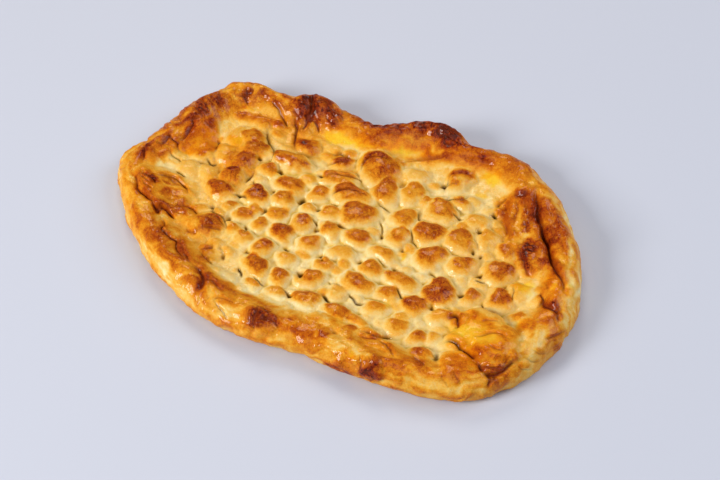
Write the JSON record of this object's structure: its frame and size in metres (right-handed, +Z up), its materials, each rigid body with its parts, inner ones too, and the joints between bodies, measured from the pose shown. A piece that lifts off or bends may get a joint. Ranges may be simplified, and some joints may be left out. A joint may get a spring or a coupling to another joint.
{
  "type": "turkish pide flat bread",
  "caption": "Whole oval flat bread with a finger-pressed, pillowed top, a thick uneven golden-brown rim and a flat underside it rests on.",
  "frame": {"origin": "on the surface the bread rests on, under the middle of its bounding box", "axes": "+X along the loaf towards the end with the large fold, +Y towards the edge with the dark knot, +Z up"},
  "size_m": [0.3932, 0.2558, 0.0317],
  "materials": {
    "baked_crust": "egg-washed bread crust, golden brown on the raised parts and pale cream in the pressed valleys, satin sheen"
  },
  "bodies": {
    "root": {"pide_loaf": "baked_crust"}
  },
  "joints": []
}
